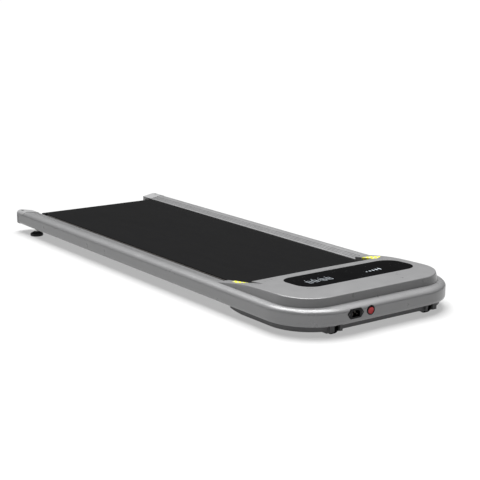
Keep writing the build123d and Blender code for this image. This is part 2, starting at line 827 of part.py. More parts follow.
with BuildPart() as deck_cushions:
    with BuildSketch(Plane.XY.offset(ledge_top)):
        with Locations([(side * (deck_screw_x + 1), y) for side in (-1, 1) for y in screw_rows]):
            RectangleRounded(14, 36, 4)
        with Locations([(side * deck_screw_x, y) for side in (-1, 1) for y in screw_rows]):
            Circle(2.6, mode=Mode.SUBTRACT)
    extrude(amount=deck_top - deck_thickness - ledge_top)
save(deck_cushions.part, "deck_cushions")

with BuildPart() as deck_screws:
    with BuildSketch(Plane.XY.offset(deck_top - 2.95)):
        with Locations([(side * deck_screw_x, y) for side in (-1, 1) for y in screw_rows]):
            Circle(4.8)
    extrude(amount=2.6)
    with BuildSketch(Plane.XY.offset(ledge_top - plate_thickness)):
        with Locations([(side * deck_screw_x, y) for side in (-1, 1) for y in screw_rows]):
            Circle(2.5)
    extrude(amount=deck_top - 2.9 - ledge_top + plate_thickness)
save(deck_screws.part, "deck_screws")

# ---------------------------------------------------------------------------
# Rollers, their axles and bearings, and the running belt
# ---------------------------------------------------------------------------

roller_half = 201.0
roller_bore = 14.5


def belt_loop(y0, z0, r0, y1, z1, r1, thickness, x0, x1):
    """A closed belt round two wheels whose radii are r0 and r1, open-belt layout."""
    reach = math.hypot(y1 - y0, z1 - z0)
    heading = math.degrees(math.atan2(z1 - z0, y1 - y0))
    lean = math.degrees(math.acos((r0 - r1) / reach))
    with BuildPart() as loop:
        for grow, mode in ((thickness, Mode.ADD), (0.0, Mode.SUBTRACT)):
            with BuildSketch(Plane.YZ.offset(x0)):
                with BuildLine():
                    first = CenterArc((y0, z0), r0 + grow, heading + lean, 360 - 2 * lean)
                    second = CenterArc((y1, z1), r1 + grow, heading - lean, 2 * lean)
                    Line(first @ 1, second @ 0)
                    Line(second @ 1, first @ 0)
                make_face()
            extrude(amount=x1 - x0, mode=mode)
    return loop.part


running_belt = belt_loop(front_roller_y, roller_z, roller_radius + running_gap,
                         rear_roller_y, roller_z, roller_radius + running_gap,
                         belt_thickness, -belt_half, belt_half)
save(running_belt, "running_belt")


def roller(y, axle):
    """A crowned tube with a closed plug at each end that the bearing sits in."""
    with BuildPart() as tube:
        with BuildSketch(Plane.XY.offset(roller_z)):
            with BuildLine():
                Polyline((-roller_half, y + roller_bore), (roller_half, y + roller_bore),
                         (roller_half, y + roller_radius - 0.4), (roller_half - 60, y + roller_radius),
                         (60 - roller_half, y + roller_radius), (-roller_half, y + roller_radius - 0.4),
                         close=True)
            make_face()
        revolve(axis=Axis((0, y, roller_z), (1, 0, 0)))
        for side in (-1, 1):
            low, high = sorted((side * (roller_half - 26), side * (roller_half - 0.01)))
            add(rod(low, high, y, roller_z, roller_bore + 0.01, axle + 1.5))
            low, high = sorted((side * (roller_half - 12), side * (roller_half + 0.5)))
            add(rod(low, high, y, roller_z, bearing_radius), mode=Mode.SUBTRACT)
    return tube.part


def bearings(y, axle):
    """One ball bearing in each end of a roller."""
    pair = []
    for side in (-1, 1):
        low, high = sorted((side * (roller_half - 12), side * (roller_half - 3)))
        pair.append(rod(low, high, y, roller_z, bearing_radius, axle + 0.05))
    return joined(pair)


save(roller(front_roller_y, axle_radius), "front_roller")
save(bearings(front_roller_y, axle_radius), "front_bearings")
save(rod(-236, 236, front_roller_y, roller_z, axle_radius), "front_axle")
save(roller(rear_roller_y, rear_axle_radius), "rear_roller")
save(bearings(rear_roller_y, rear_axle_radius), "rear_bearings")

bolt_radius = 3.0
bolt_seat = rear - 22.0
with BuildPart() as rear_axle:
    add(rod(-239, 239, rear_roller_y, roller_z, rear_axle_radius))
    for side in (-1, 1):
        add(lengthwise(side * tension_x, roller_z, rear_roller_y - 8, rear_roller_y + 8, bolt_radius + 0.05),
            mode=Mode.SUBTRACT)
save(rear_axle.part, "rear_axle")

for side_name, side in (("left", -1), ("right", 1)):
    with BuildPart() as tension_bolt:
        add(lengthwise(side * tension_x, roller_z, rear_roller_y - 22, bolt_seat + 0.1, bolt_radius))
        add(lengthwise(side * tension_x, roller_z, bolt_seat + 0.05, bolt_seat + 6, 5))
        with BuildSketch(Plane.XZ.offset(-bolt_seat - 2.6)):
            with Locations((side * tension_x, roller_z)):
                RegularPolygon(2.5, 6, major_radius=False)
        extrude(amount=-5, mode=Mode.SUBTRACT)
    save(tension_bolt.part, f"tension_bolt_{side_name}")

with BuildPart() as tension_bracket:
    add(block(217, 242, bolt_seat - 3, bolt_seat, 29, 55))
    add(block(217, 242, bolt_seat - 30, bolt_seat, 28.55, 31))
    add(lengthwise(tension_x, roller_z, bolt_seat - 5, bolt_seat + 2, bolt_radius + 0.1), mode=Mode.SUBTRACT)
save(joined([tension_bracket.part, mirrored(tension_bracket.part)]), "tension_brackets")

axle_nuts = []
for side in (-1, 1):
    nut_face = side * (front_plate_inner + plate_thickness + 0.05)
    with BuildPart() as axle_nut:
        with BuildSketch(Plane.YZ.offset(nut_face)):
            with Locations((front_roller_y, roller_z)):
                RegularPolygon(9.5, 6, major_radius=False)
                Circle(axle_radius + 0.02, mode=Mode.SUBTRACT)
        extrude(amount=side * 5.5)
    axle_nuts.append(axle_nut.part)
save(joined(axle_nuts), "front_axle_nuts")

# ---------------------------------------------------------------------------
# Drive: pulley on the roller, motor with its rotor, fan and pulley, toothed belt
# ---------------------------------------------------------------------------

pulley_left = drive_x - pulley_width / 2
pulley_right = drive_x + pulley_width / 2

with BuildPart() as drive_pulley:
    add(rod(pulley_left, pulley_right, front_roller_y, roller_z, drive_pulley_radius, axle_radius + 0.5))
    for x in (pulley_left, pulley_right - 1):
        add(rod(x, x + 1, front_roller_y, roller_z, drive_pulley_radius + 1.4, axle_radius + 0.5))
    add(rod(roller_half - 2.9, pulley_left + 1, front_roller_y, roller_z, bearing_radius - 0.02, axle_radius + 0.5))
    with BuildSketch(Plane.YZ.offset(pulley_left + 4)):
        with Locations((front_roller_y, roller_z)):
            with PolarLocations(13.5, 6):
                Circle(3)
    extrude(amount=20, mode=Mode.SUBTRACT)
save(drive_pulley.part, "drive_pulley")

motor_left = 62.0
motor_right = 186.0
shaft_radius = 4.0
with BuildPart() as motor_housing:
    add(rod(motor_left, motor_right, motor_y, motor_z, motor_radius, motor_radius - 3))
    add(rod(motor_left, motor_left + 5, motor_y, motor_z, motor_radius - 1, shaft_radius + 0.05))
    add(rod(motor_right - 5, motor_right + 4, motor_y, motor_z, 12, shaft_radius + 0.05))
    add(rod(motor_right - 5, motor_right, motor_y, motor_z, motor_radius - 1, shaft_radius + 0.05))
    for x in (motor_left + 14, motor_right - 15):
        with BuildSketch(Plane.YZ.offset(x)):
            with Locations((motor_y, motor_z)):
                Circle(motor_radius + 1)
                Circle(motor_radius - 0.7, mode=Mode.SUBTRACT)
        extrude(amount=1, mode=Mode.SUBTRACT)
save(motor_housing.part, "motor_housing")

with BuildPart() as motor_rotor:
    add(rod(motor_left - 14, pulley_right + 2, motor_y, motor_z, shaft_radius))
    add(rod(motor_left + 14, motor_right - 14, motor_y, motor_z, 18))
save(motor_rotor.part, "motor_rotor")

with BuildPart() as motor_pulley:
    add(rod(pulley_left, pulley_right, motor_y, motor_z, motor_pulley_radius, shaft_radius))
    for x in (pulley_left, pulley_right - 1):
        add(rod(x, x + 1, motor_y, motor_z, motor_pulley_radius + 1.4, shaft_radius))
save(motor_pulley.part, "motor_pulley")

with BuildPart() as motor_fan:
    add(rod(motor_left - 12, motor_left - 10, motor_y, motor_z, 22, shaft_radius))
    add(rod(motor_left - 12, motor_left - 3, motor_y, motor_z, 8, shaft_radius))
    with BuildSketch(Plane.YZ.offset(motor_left - 10.5)):
        with Locations((motor_y, motor_z)):
            with PolarLocations(14.5, 9):
                Rectangle(14, 1.6)
    extrude(amount=7)
save(motor_fan.part, "motor_fan")

drive_belt = belt_loop(motor_y, motor_z, motor_pulley_radius + running_gap,
                       front_roller_y, roller_z, drive_pulley_radius + running_gap,
                       drive_belt_thickness, drive_x - drive_belt_width / 2, drive_x + drive_belt_width / 2)
save(drive_belt, "drive_belt")

with BuildPart() as motor_bracket:
    for x in (motor_left + 20, motor_right - 34):
        add(block(x, x + 14, motor_y - 24, motor_y + 24, frame_bottom, motor_z - 8))
        add(block(x, x + 14, motor_y - 34, motor_y + 34, frame_bottom, frame_bottom + 4))
    add(rod(motor_left, motor_right, motor_y, motor_z, motor_radius + 0.02), mode=Mode.SUBTRACT)
save(motor_bracket.part, "motor_bracket")

# ---------------------------------------------------------------------------
# Electronics
# ---------------------------------------------------------------------------

with BuildPart() as control_board:
    add(block(-190, -24, front + 68, front + 198, 32, 33.6))
    add(block(-150, -124, front + 84, front + 106, 33.6, 44))
    add(block(-112, -92, front + 90, front + 108, 33.6, 42))
    add(block(-80, -62, front + 84, front + 120, 33.6, 42))
save(control_board.part, "control_board")

with BuildPart() as heat_sink:
    add(block(-184, -76, front + 146, front + 192, 33.65, 38))
    for fin in range(10):
        x = -183 + 11.6 * fin
        add(block(x, x + 2, front + 146, front + 192, 37.5, 60))
save(heat_sink.part, "heat_sink")

with BuildPart() as capacitors:
    for y in (front + 84, front + 106, front + 128):
        add(upright(-44, y, 33.65, 62, 9))
save(capacitors.part, "capacitors")


def wire(points, radius, bend):
    """A round wire along straight runs joined by bends."""
    with BuildPart() as lead:
        with BuildLine() as route:
            FilletPolyline(*points, radius=bend)
        start = route.line @ 0
        with BuildSketch(Plane(origin=start, z_dir=route.line % 0)):
            Circle(radius)
        sweep()
    return lead.part


wire_radius = 1.6
wires = []
for lane in range(2):
    shift = 6 * lane
    wires.append(wire([(inlet_x - 3 + shift, front + 27, inlet_z - 4), (inlet_x - 3 + shift, front + 50, inlet_z - 4),
                       (inlet_x - 12 + 4 * shift, front + 74, inlet_z), (inlet_x - 12 + 4 * shift, front + 74, 34)],
                      wire_radius, 5))
    lead_angle = math.radians(45 - 20 * lane)
    lead_y = motor_y + (motor_radius + wire_radius + 0.05) * math.cos(lead_angle)
    lead_z = motor_z + (motor_radius + wire_radius + 0.05) * math.sin(lead_angle)
    lead_start = front + 150 + 3 * shift
    wires.append(wire([(-30, lead_start, 34), (-30, lead_start, lead_z - 6), (20, lead_y, lead_z),
                       (motor_left + 20, lead_y, lead_z)], wire_radius, 7))
save(joined(wires), "wiring_harness")

flange_thickness = 2.0
socket_depth = 17.0
with BuildPart() as power_inlet:
    # flange: a long hexagon with pointed ends
    with BuildSketch(Plane.XZ.offset(-front)):
        with BuildLine():
            Polyline((inlet_x + 25, inlet_z), (inlet_x + 15.5, inlet_z + 12), (inlet_x - 15.5, inlet_z + 12),
                     (inlet_x - 25, inlet_z), (inlet_x - 15.5, inlet_z - 12), (inlet_x + 15.5, inlet_z - 12),
                     close=True)
        make_face()
    extrude(amount=flange_thickness)
    fillet(power_inlet.faces().sort_by(Axis.Y)[0].edges(), 0.6)
    with BuildSketch(Plane.XZ.offset(-front)):
        with Locations((inlet_x, inlet_z)):
            Rectangle(28.8, 21.8)
    extrude(amount=-26)
    with BuildSketch(Plane.XZ.offset(-front + flange_thickness)):
        with BuildLine():
            Polyline((inlet_x - 12, inlet_z - 8), (inlet_x + 12, inlet_z - 8), (inlet_x + 12, inlet_z + 3.5),
                     (inlet_x + 7.5, inlet_z + 8), (inlet_x - 7.5, inlet_z + 8), (inlet_x - 12, inlet_z + 3.5),
                     close=True)
        make_face()
    extrude(amount=-socket_depth - flange_thickness, mode=Mode.SUBTRACT)
    with BuildSketch(Plane.XZ.offset(-front + flange_thickness)):
        with Locations((inlet_x - 20, inlet_z), (inlet_x + 20, inlet_z)):
            Circle(1.6)
    extrude(amount=-flange_thickness - 1, mode=Mode.SUBTRACT)
    with BuildSketch(Plane.XZ.offset(-front + flange_thickness)):
        with Locations((inlet_x - 20, inlet_z), (inlet_x + 20, inlet_z)):
            Circle(3)
    extrude(amount=-1.2, mode=Mode.SUBTRACT)
save(power_inlet.part, "power_inlet")

pin_places = [(inlet_x - 7, inlet_z - 2), (inlet_x, inlet_z + 3), (inlet_x + 7, inlet_z - 2)]
with BuildPart() as inlet_pins:
    with BuildSketch(Plane.XZ.offset(-front - socket_depth)):
        with Locations(pin_places):
            Rectangle(2, 4)
    extrude(amount=socket_depth - 3)
save(inlet_pins.part, "inlet_pins")

with BuildPart() as inlet_screws:
    with BuildSketch(Plane.XZ.offset(-front + flange_thickness - 1.15)):
        with Locations((inlet_x - 20, inlet_z), (inlet_x + 20, inlet_z)):
            Circle(2.9)
    extrude(amount=1.0)
    with BuildSketch(Plane.XZ.offset(-front + flange_thickness - 1)):
        with Locations((inlet_x - 20, inlet_z), (inlet_x + 20, inlet_z)):
            Circle(1.5)
    extrude(amount=-9)
save(inlet_screws.part, "inlet_screws")

# round rocker switch, tilted to its resting side
bezel_radius = 12.0
bezel_bore = 10.0
barrel_bore = 9.6
rocker_radius = 8.3
rocker_pivot_y = front + 7.0
rocker_tilt = 8.0

with BuildPart() as switch_bezel:
    add(lengthwise(switch_x, switch_z, front - flange_thickness, front, bezel_radius, bezel_bore))
    fillet(switch_bezel.edges().filter_by(GeomType.CIRCLE).group_by(Axis.Y)[0].sort_by(SortBy.RADIUS)[-1], 1.2)
    add(lengthwise(switch_x, switch_z, front - 0.5, front + 20, 10.05, barrel_bore))
    add(lengthwise(switch_x, switch_z, front + 18, front + 20, 10.05))
save(switch_bezel.part, "switch_bezel")

with BuildPart() as switch_rocker:
    with BuildSketch(Plane.YZ.offset(switch_x - 12)):
        with BuildLine():
            Polyline((front + 10, switch_z - 3), (front + 5, switch_z - 9), (front - 2.5, switch_z - 9),
                     (front - 1.2, switch_z), (front - 2.5, switch_z + 9), (front + 5, switch_z + 9),
                     (front + 10, switch_z + 3), close=True)
        make_face()
    extrude(amount=24)
    add(lengthwise(switch_x, switch_z, front - 6, front + 12, rocker_radius), mode=Mode.INTERSECT)
tilted = switch_rocker.part.rotate(Axis((switch_x, rocker_pivot_y, switch_z), (1, 0, 0)), rocker_tilt)
save(tilted, "switch_rocker")
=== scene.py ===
import json
import math

import bpy
from mathutils import Matrix, Vector
from mathutils.bvhtree import BVHTree


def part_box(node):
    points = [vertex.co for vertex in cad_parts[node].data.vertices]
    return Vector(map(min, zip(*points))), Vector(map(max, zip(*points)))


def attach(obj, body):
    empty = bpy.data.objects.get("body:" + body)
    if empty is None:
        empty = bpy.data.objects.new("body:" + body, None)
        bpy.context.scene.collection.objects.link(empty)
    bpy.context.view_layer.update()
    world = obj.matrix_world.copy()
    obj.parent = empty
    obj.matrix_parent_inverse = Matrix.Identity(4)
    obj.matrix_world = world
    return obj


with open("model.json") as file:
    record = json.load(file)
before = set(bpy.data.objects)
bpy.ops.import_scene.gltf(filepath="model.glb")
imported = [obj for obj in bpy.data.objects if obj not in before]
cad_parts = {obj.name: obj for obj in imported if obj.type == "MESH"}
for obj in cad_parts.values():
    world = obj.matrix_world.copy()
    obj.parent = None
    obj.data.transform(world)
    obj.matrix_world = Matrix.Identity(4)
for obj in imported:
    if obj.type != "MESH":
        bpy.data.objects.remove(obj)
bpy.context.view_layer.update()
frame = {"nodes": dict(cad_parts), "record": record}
nodes = frame["nodes"]

MM = 0.001

# ---------------------------------------------------------------------------
# Camera, light and floor
# ---------------------------------------------------------------------------

front_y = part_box("front_casing")[0].y

# where the photo's camera stood: metres from the middle of the machine's front, then degrees
camera_place = (-1.8387, front_y - 1.8881, 0.8124)
camera_heading = -36.45
camera_drop = 13.03
camera_roll = 0.42
camera_lens = 85.68  # mm, on a sensor 36 mm wide

corner_lamp_place = (-0.67, front_y - 0.17, 1.6)
corner_lamp_aim = (-0.24, front_y + 0.04, 0.06)


def add_camera():
    """A long lens, low, looking over the front left corner of the machine."""
    data = bpy.data.cameras.new("camera")
    data.sensor_width = 36.0
    data.lens = camera_lens
    data.clip_end = 200.0
    camera = bpy.data.objects.new("camera", data)
    bpy.context.scene.collection.objects.link(camera)
    place = Matrix.Translation(camera_place)
    turn = Matrix.Rotation(math.radians(camera_heading), 4, "Z")
    tilt = Matrix.Rotation(math.radians(90 - camera_drop), 4, "X")
    roll = Matrix.Rotation(math.radians(camera_roll), 4, "Z")
    camera.matrix_world = place @ turn @ tilt @ roll
    bpy.context.scene.camera = camera


def add_area(name, place, aim, size, power):
    """A soft box that points at aim."""
    data = bpy.data.lights.new(name, "AREA")
    data.shape = "RECTANGLE"
    data.size, data.size_y = size
    data.energy = power
    lamp = bpy.data.objects.new(name, data)
    bpy.context.scene.collection.objects.link(lamp)
    lamp.location = place
    lamp.rotation_euler = (Vector(aim) - Vector(place)).to_track_quat("-Z", "Y").to_euler()


def add_sun(name, heading, height, strength, spread):
    """A distant, very soft light from a compass heading and a height above the floor, in degrees."""
    data = bpy.data.lights.new(name, "SUN")
    data.energy = strength
    data.angle = math.radians(spread)
    lamp = bpy.data.objects.new(name, data)
    bpy.context.scene.collection.objects.link(lamp)
    up = math.radians(height)
    away = math.radians(heading)
    ray = -Vector((math.sin(away) * math.cos(up), math.cos(away) * math.cos(up), math.sin(up)))
    lamp.rotation_euler = ray.to_track_quat("-Z", "Y").to_euler()


def add_floor():
    """A wide plain floor that glows a little, so that it comes out near white under soft lamps."""
    mesh = bpy.data.meshes.new("floor")
    reach = 60.0
    mesh.from_pydata([(-reach, -reach, 0), (reach, -reach, 0), (reach, reach, 0), (-reach, reach, 0)],
                     [], [(0, 1, 2, 3)])
    floor = bpy.data.objects.new("floor", mesh)
    bpy.context.scene.collection.objects.link(floor)
    paint = bpy.data.materials.new("floor_paint")
    paint.use_nodes = True
    shader = paint.node_tree.nodes["Principled BSDF"]
    shader.inputs["Base Color"].default_value = (0.33, 0.33, 0.33, 1)
    shader.inputs["Roughness"].default_value = 0.9
    shader.inputs["Specular IOR Level"].default_value = 0.1
    shader.inputs["Emission Color"].default_value = (1, 1, 1, 1)
    shader.inputs["Emission Strength"].default_value = 0.42
    mesh.materials.append(paint)


def add_world():
    """Nearly dark surroundings, so that the lamps and the floor do the lighting."""
    world = bpy.data.worlds.new("studio")
    world.use_nodes = True
    sky = world.node_tree.nodes["Background"]
    sky.inputs["Color"].default_value = (1.0, 1.0, 1.0, 1)
    sky.inputs["Strength"].default_value = 0.02
    bpy.context.scene.world = world


bpy.context.scene.view_settings.view_transform = "Standard"
add_camera()
add_world()
add_floor()
add_sun("top_light", heading=25, height=68, strength=6.0, spread=50)
add_area("corner_light", corner_lamp_place, corner_lamp_aim, size=(0.3, 0.3), power=8.0)

# ---------------------------------------------------------------------------
# Materials
# ---------------------------------------------------------------------------


def start_material(name, color, roughness, metallic=0.0, specular=0.5):
    """A Principled material, with the tree and shader that the finishes below add to."""
    made = bpy.data.materials.new(name)
    made.use_nodes = True
    tree = made.node_tree
    shader = tree.nodes["Principled BSDF"]
    shader.inputs["Base Color"].default_value = (*color, 1)
    shader.inputs["Roughness"].default_value = roughness
    shader.inputs["Metallic"].default_value = metallic
    shader.inputs["Specular IOR Level"].default_value = specular
    return made, tree, shader


def coordinates(tree, scale=(1, 1, 1), lean=0.0):
    """Object coordinates in metres, scaled along each axis and turned by lean radians about Z."""
    source = tree.nodes.new("ShaderNodeTexCoord")
    mapping = tree.nodes.new("ShaderNodeMapping")
    mapping.inputs["Scale"].default_value = scale
    mapping.inputs["Rotation"].default_value = (0, 0, lean)
    tree.links.new(source.outputs["Object"], mapping.inputs["Vector"])
    return mapping.outputs["Vector"]


def noise(tree, vector, scale, detail=3.0, roughness=0.5):
    """A noise field between 0 and 1."""
    made = tree.nodes.new("ShaderNodeTexNoise")
    made.inputs["Scale"].default_value = scale
    made.inputs["Detail"].default_value = detail
    made.inputs["Roughness"].default_value = roughness
    tree.links.new(vector, made.inputs["Vector"])
    return made.outputs["Fac"]


def remap(tree, value, low, high, start=0.3, end=0.7):
    """Stretch a field so that start..end becomes low..high."""
    made = tree.nodes.new("ShaderNodeMapRange")
    made.inputs["From Min"].default_value = start
    made.inputs["From Max"].default_value = end
    made.inputs["To Min"].default_value = low
    made.inputs["To Max"].default_value = high
    tree.links.new(value, made.inputs["Value"])
    return made.outputs["Result"]


def blend_colors(tree, factor, first, second):
    """Mix two fixed colours by a field."""
    made = tree.nodes.new("ShaderNodeMix")
    made.data_type = "RGBA"
    made.inputs["A"].default_value = (*first, 1)
    made.inputs["B"].default_value = (*second, 1)
    tree.links.new(factor, made.inputs["Factor"])
    return made.outputs["Result"]


def add_bump(tree, shader, height, strength, depth):
    """Raise the surface by a height field that is depth mm high."""
    bump = tree.nodes.new("ShaderNodeBump")
    bump.inputs["Strength"].default_value = strength
    bump.inputs["Distance"].default_value = depth * MM
    tree.links.new(height, bump.inputs["Height"])
    tree.links.new(bump.outputs["Normal"], shader.inputs["Normal"])


def shade(color, amount):
    """A colour made lighter or darker by a factor."""
    return tuple(min(1.0, channel * amount) for channel in color)


def moulded(name, color, roughness=0.5, grain=2600.0, depth=0.02, vary=0.05, metallic=0.0, specular=0.5):
    """Moulded plastic or a plain coat: fine grain, depth in mm, and a faint unevenness of tone and gloss."""
    made, tree, shader = start_material(name, color, roughness, metallic, specular)
    even = coordinates(tree)
    cloud = noise(tree, even, scale=9.0, detail=4.0)
    tone = blend_colors(tree, remap(tree, cloud, 0.0, 1.0), shade(color, 1 - vary), shade(color, 1 + vary))
    tree.links.new(tone, shader.inputs["Base Color"])
    smear = noise(tree, even, scale=40.0, detail=5.0, roughness=0.6)
    tree.links.new(remap(tree, smear, roughness - 0.05, roughness + 0.06), shader.inputs["Roughness"])
    add_bump(tree, shader, noise(tree, even, scale=grain, detail=2.0), strength=0.25, depth=depth)
    return made


def metallic_paint(name, color, roughness=0.3):
    """Silver-grey paint: tiny flakes, a faint orange peel and a soft gloss."""
    made, tree, shader = start_material(name, color, roughness, 0.1, 0.45)
    even = coordinates(tree)
    flakes = noise(tree, even, scale=5200.0, detail=1.0)
    sparkle = remap(tree, flakes, 0.0, 1.0, start=0.35, end=0.65)
    tone = blend_colors(tree, sparkle, shade(color, 0.93), shade(color, 1.07))
    tree.links.new(tone, shader.inputs["Base Color"])
    smear = noise(tree, even, scale=22.0, detail=5.0, roughness=0.6)
    tree.links.new(remap(tree, smear, roughness - 0.04, roughness + 0.05), shader.inputs["Roughness"])
    add_bump(tree, shader, noise(tree, even, scale=420.0, detail=2.0), strength=0.06, depth=0.03)
    return made


def drawn_metal(name, color, roughness, along):
    """Metal with fine drawn or turned lines along one axis."""
    made, tree, shader = start_material(name, color, roughness, metallic=1.0)
    stretch = {"X": (0.02, 1, 1), "Y": (1, 0.02, 1), "Z": (1, 1, 0.02)}[along]
    lines = noise(tree, coordinates(tree, stretch), scale=2400.0, detail=3.0, roughness=0.6)
    tone = blend_colors(tree, remap(tree, lines, 0.0, 1.0), shade(color, 0.88), shade(color, 1.1))
    tree.links.new(tone, shader.inputs["Base Color"])
    tree.links.new(remap(tree, lines, roughness - 0.07, roughness + 0.1), shader.inputs["Roughness"])
    add_bump(tree, shader, lines, strength=0.2, depth=0.02)
    return made


def belt_fabric(name, color):
    """Treadmill belt: matt rubber pressed with a fine diamond grid, with painted shade in the grid's
    hollows, and faintly scuffed all over.
    """
    made, tree, shader = start_material(name, color, 0.7, specular=0.03)
    grid = tree.nodes.new("ShaderNodeMath")
    grid.operation = "MAXIMUM"
    for i, lean in enumerate((0.9, -0.9)):
        wave = tree.nodes.new("ShaderNodeTexWave")
        wave.inputs["Scale"].default_value = 95.0
        wave.inputs["Distortion"].default_value = 0.15
        tree.links.new(coordinates(tree, lean=lean), wave.inputs["Vector"])
        tree.links.new(wave.outputs["Fac"], grid.inputs[i])
    scuff = noise(tree, coordinates(tree, (1, 0.35, 1)), scale=14.0, detail=6.0, roughness=0.65)
    tone = blend_colors(tree, remap(tree, scuff, 0.0, 1.0), shade(color, 0.85), shade(color, 1.2))
    # painted shade: the colour is made darker where the grid's relief is low, in its hollows
    painted_groove_shade = tree.nodes.new("ShaderNodeMix")
    painted_groove_shade.data_type = "RGBA"
    painted_groove_shade.inputs["B"].default_value = (*shade(color, 0.55), 1)
    tree.links.new(remap(tree, grid.outputs[0], 0.55, 0.0, start=0.25, end=0.75), painted_groove_shade.inputs["Factor"])
    tree.links.new(tone, painted_groove_shade.inputs["A"])
    tree.links.new(painted_groove_shade.outputs["Result"], shader.inputs["Base Color"])
    tree.links.new(remap(tree, scuff, 0.62, 0.8), shader.inputs["Roughness"])
    grit_share = 0.35
    relief = tree.nodes.new("ShaderNodeMath")
    relief.operation = "MULTIPLY_ADD"
    relief.inputs[1].default_value = grit_share
    tree.links.new(noise(tree, coordinates(tree), scale=3000.0, detail=2.0), relief.inputs[0])
    tree.links.new(grid.outputs[0], relief.inputs[2])
    add_bump(tree, shader, relief.outputs[0], strength=0.5, depth=0.3)
    return made


def gloss(name, color, roughness=0.12, coat=0.6):
    """Polished plastic or acrylic with faint wipe marks."""
    made, tree, shader = start_material(name, color, roughness)
    shader.inputs["Coat Weight"].default_value = coat
    shader.inputs["Coat Roughness"].default_value = 0.06
    wiped = coordinates(tree, (1, 0.4, 1))
    wipe = noise(tree, wiped, scale=30.0, detail=6.0, roughness=0.7)
    tree.links.new(remap(tree, wipe, roughness * 0.7, roughness * 1.6), shader.inputs["Roughness"])
    tone = blend_colors(tree, remap(tree, wipe, 0.0, 1.0), shade(color, 0.9), shade(color, 1.15))
    tree.links.new(tone, shader.inputs["Base Color"])
    add_bump(tree, shader, noise(tree, wiped, scale=300.0, detail=1.0), strength=0.04, depth=0.02)
    return made


def marker_film(name, yellow, pale):
    """Printed film with slanting stripes."""
    made, tree, shader = start_material(name, yellow, 0.35)
    stripes = tree.nodes.new("ShaderNodeTexWave")
    stripes.inputs["Scale"].default_value = 32.0
    tree.links.new(coordinates(tree, lean=0.6), stripes.inputs["Vector"])
    print_edge = remap(tree, stripes.outputs["Fac"], 0.0, 1.0, start=0.7, end=0.8)
    tone = blend_colors(tree, print_edge, yellow, pale)
    tree.links.new(tone, shader.inputs["Base Color"])
    even = coordinates(tree)
    tree.links.new(remap(tree, noise(tree, even, scale=60.0), 0.28, 0.45), shader.inputs["Roughness"])
    add_bump(tree, shader, noise(tree, even, scale=1500.0), strength=0.1, depth=0.02)
    return made


def board_film(name, color, trace):
    """Circuit board lacquer with a fine net of paler tracks."""
    made, tree, shader = start_material(name, color, 0.35)
    cells = tree.nodes.new("ShaderNodeTexBrick")
    cells.inputs["Scale"].default_value = 90.0
    cells.inputs["Color1"].default_value = (*color, 1)
    cells.inputs["Color2"].default_value = (*shade(color, 1.2), 1)
    cells.inputs["Mortar"].default_value = (*trace, 1)
    cells.inputs["Mortar Size"].default_value = 0.01
    tree.links.new(coordinates(tree), cells.inputs["Vector"])
    tree.links.new(cells.outputs["Color"], shader.inputs["Base Color"])
    return made


def lamp_glow(name, color, strength):
    """A lit segment, a little uneven in tone."""
    made, tree, shader = start_material(name, color, 0.4)
    shader.inputs["Emission Color"].default_value = (*color, 1)
    shader.inputs["Emission Strength"].default_value = strength
    even = coordinates(tree)
    patchy = blend_colors(tree, remap(tree, noise(tree, even, scale=900.0), 0, 1), shade(color, 0.9), color)
    tree.links.new(patchy, shader.inputs["Base Color"])
    return made


